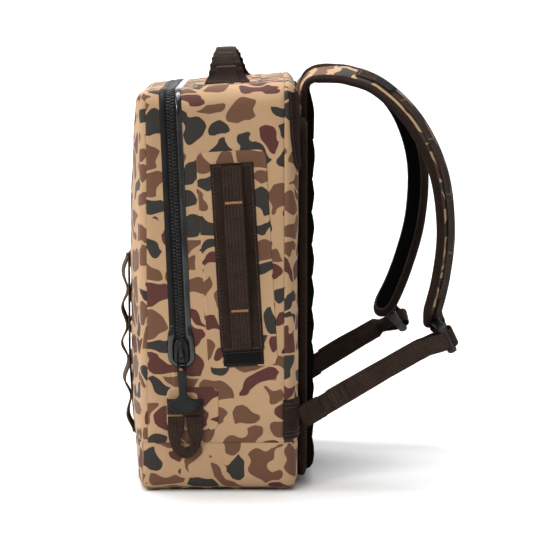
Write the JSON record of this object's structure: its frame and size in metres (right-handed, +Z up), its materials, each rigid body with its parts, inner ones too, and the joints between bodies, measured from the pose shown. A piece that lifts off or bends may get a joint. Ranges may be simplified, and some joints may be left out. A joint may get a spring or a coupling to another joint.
{
  "type": "backpack",
  "caption": "Boxy waterproof tackle backpack with a zipped fold-down front, side and top handles, curved padded shoulder straps and webbing ladders.",
  "frame": {"origin": "centre of the base footprint, on the surface the pack stands on", "axes": "+Z up, +Y from the pack towards the wearer's back with the shoulder straps, +X towards the wearer's right, where the zip pull hangs"},
  "size_m": [0.3884, 0.4283, 0.5463],
  "materials": {
    "camo_laminate": "matt laminated woven nylon in brown camouflage",
    "webbing": "matt woven nylon webbing",
    "pad_foam": "matt fabric over foam",
    "stiffener_plastic": "matt sheet",
    "zipper_rubber": "satin coated flange",
    "moulded_black": "fine moulded grain",
    "pull_rubber": "matt moulded rubber",
    "cord": "braided cord",
    "mesh": "open knit mesh",
    "tan_thread": "bonded thread",
    "label_black": "smooth coated patch"
  },
  "bodies": {
    "pack": {"base_tub": "camo_laminate", "right_side_panel": "camo_laminate", "left_side_panel": "camo_laminate", "back_panel": "camo_laminate", "top_panel": "camo_laminate", "lower_front_panel": "camo_laminate", "base_board": "stiffener_plastic", "frame_sheet": "stiffener_plastic", "back_pad": "pad_foam", "back_pad_binding": "webbing", "yoke_panel": "webbing", "right_strap_root": "camo_laminate", "left_strap_root": "camo_laminate", "zipper_tape_rear": "zipper_rubber", "zipper_teeth_rear": "moulded_black", "zipper_garages": "zipper_rubber", "right_handle_patch": "camo_laminate", "right_handle_backing": "webbing", "right_handle_strap": "webbing", "left_handle_patch": "camo_laminate", "left_handle_backing": "webbing", "left_handle_strap": "webbing", "side_handle_tacks": "tan_thread", "size_label": "label_black", "dock_patch": "camo_laminate", "dock_loop_foot": "webbing", "top_handle_patch": "camo_laminate", "top_handle_feet": "webbing", "right_anchor_tab": "webbing", "left_anchor_tab": "webbing", "front_ladders_lower": "webbing"},
    "front_lid": {"front_panel": "camo_laminate", "front_gusset": "camo_laminate", "zipper_tape_front": "zipper_rubber", "zipper_teeth_front": "moulded_black", "right_front_ladder": "webbing", "left_front_ladder": "webbing", "mesh_pocket": "mesh", "mesh_pocket_zip": "moulded_black"},
    "zip_slider": {"zipper_slider": "moulded_black"},
    "zip_pull": {"pull_cord": "cord", "pull_handle": "pull_rubber"},
    "dock": {"dock_loop": "webbing"},
    "top_handle": {"top_handle_web": "webbing", "top_handle_grip": "webbing"},
    "right_strap": {"right_strap_pad": "camo_laminate", "right_strap_binding": "webbing", "right_strap_rail": "webbing", "right_strap_tag": "label_black", "right_end_loop": "webbing", "right_lower_webbing": "webbing"},
    "right_buckle": {"right_ladderlock": "moulded_black"},
    "left_strap": {"left_strap_pad": "camo_laminate", "left_strap_binding": "webbing", "left_strap_rail": "webbing", "left_end_loop": "webbing", "left_lower_webbing": "webbing"},
    "left_buckle": {"left_ladderlock": "moulded_black"}
  },
  "joints": [
    {"name": "front_lid_fold", "type": "hinge", "parent": "pack", "child": "front_lid", "pos_m": [0, -0.113, 0.15], "axis": [1, 0, 0], "range_deg": [0, 95]},
    {"name": "zip_slider_slide", "type": "slide", "parent": "pack", "child": "zip_slider", "axis": [0, -0.0401, 0.9992], "range_m": [0, 0.27]},
    {"name": "zip_pull_swing", "type": "hinge", "parent": "zip_slider", "child": "zip_pull", "pos_m": [0.1839, -0.04184, 0.181], "axis": [0, -0.9992, -0.0401], "range_deg": [0, 160]},
    {"name": "dock_loop_swing", "type": "hinge", "parent": "pack", "child": "dock", "pos_m": [0.1781, -0.037, 0.096], "axis": [0, -1, 0], "range_deg": [0, 75]},
    {"name": "top_handle_tilt", "type": "hinge", "parent": "pack", "child": "top_handle", "pos_m": [0, 0.014, 0.51439], "axis": [1, 0, 0], "range_deg": [-60, 60], "stiffness_Nm_per_rad": 0.02},
    {"name": "right_strap_swing", "type": "hinge", "parent": "pack", "child": "right_strap", "pos_m": [0.158, 0.113, 0.094], "axis": [-0.2369, 0.0441, 0.9705], "range_deg": [-20, 20]},
    {"name": "right_buckle_tilt", "type": "hinge", "parent": "right_strap", "child": "right_buckle", "pos_m": [0.11635, 0.27976, 0.19392], "axis": [0.4178, -0.3879, 0.8216], "range_deg": [-20, 15]},
    {"name": "left_strap_swing", "type": "hinge", "parent": "pack", "child": "left_strap", "pos_m": [-0.158, 0.113, 0.094], "axis": [0.2369, 0.0441, 0.9705], "range_deg": [-20, 20]},
    {"name": "left_buckle_tilt", "type": "hinge", "parent": "left_strap", "child": "left_buckle", "pos_m": [-0.12261, 0.23154, 0.18793], "axis": [-0.8891, -0.0901, 0.4487], "range_deg": [-15, 20]}
  ]
}
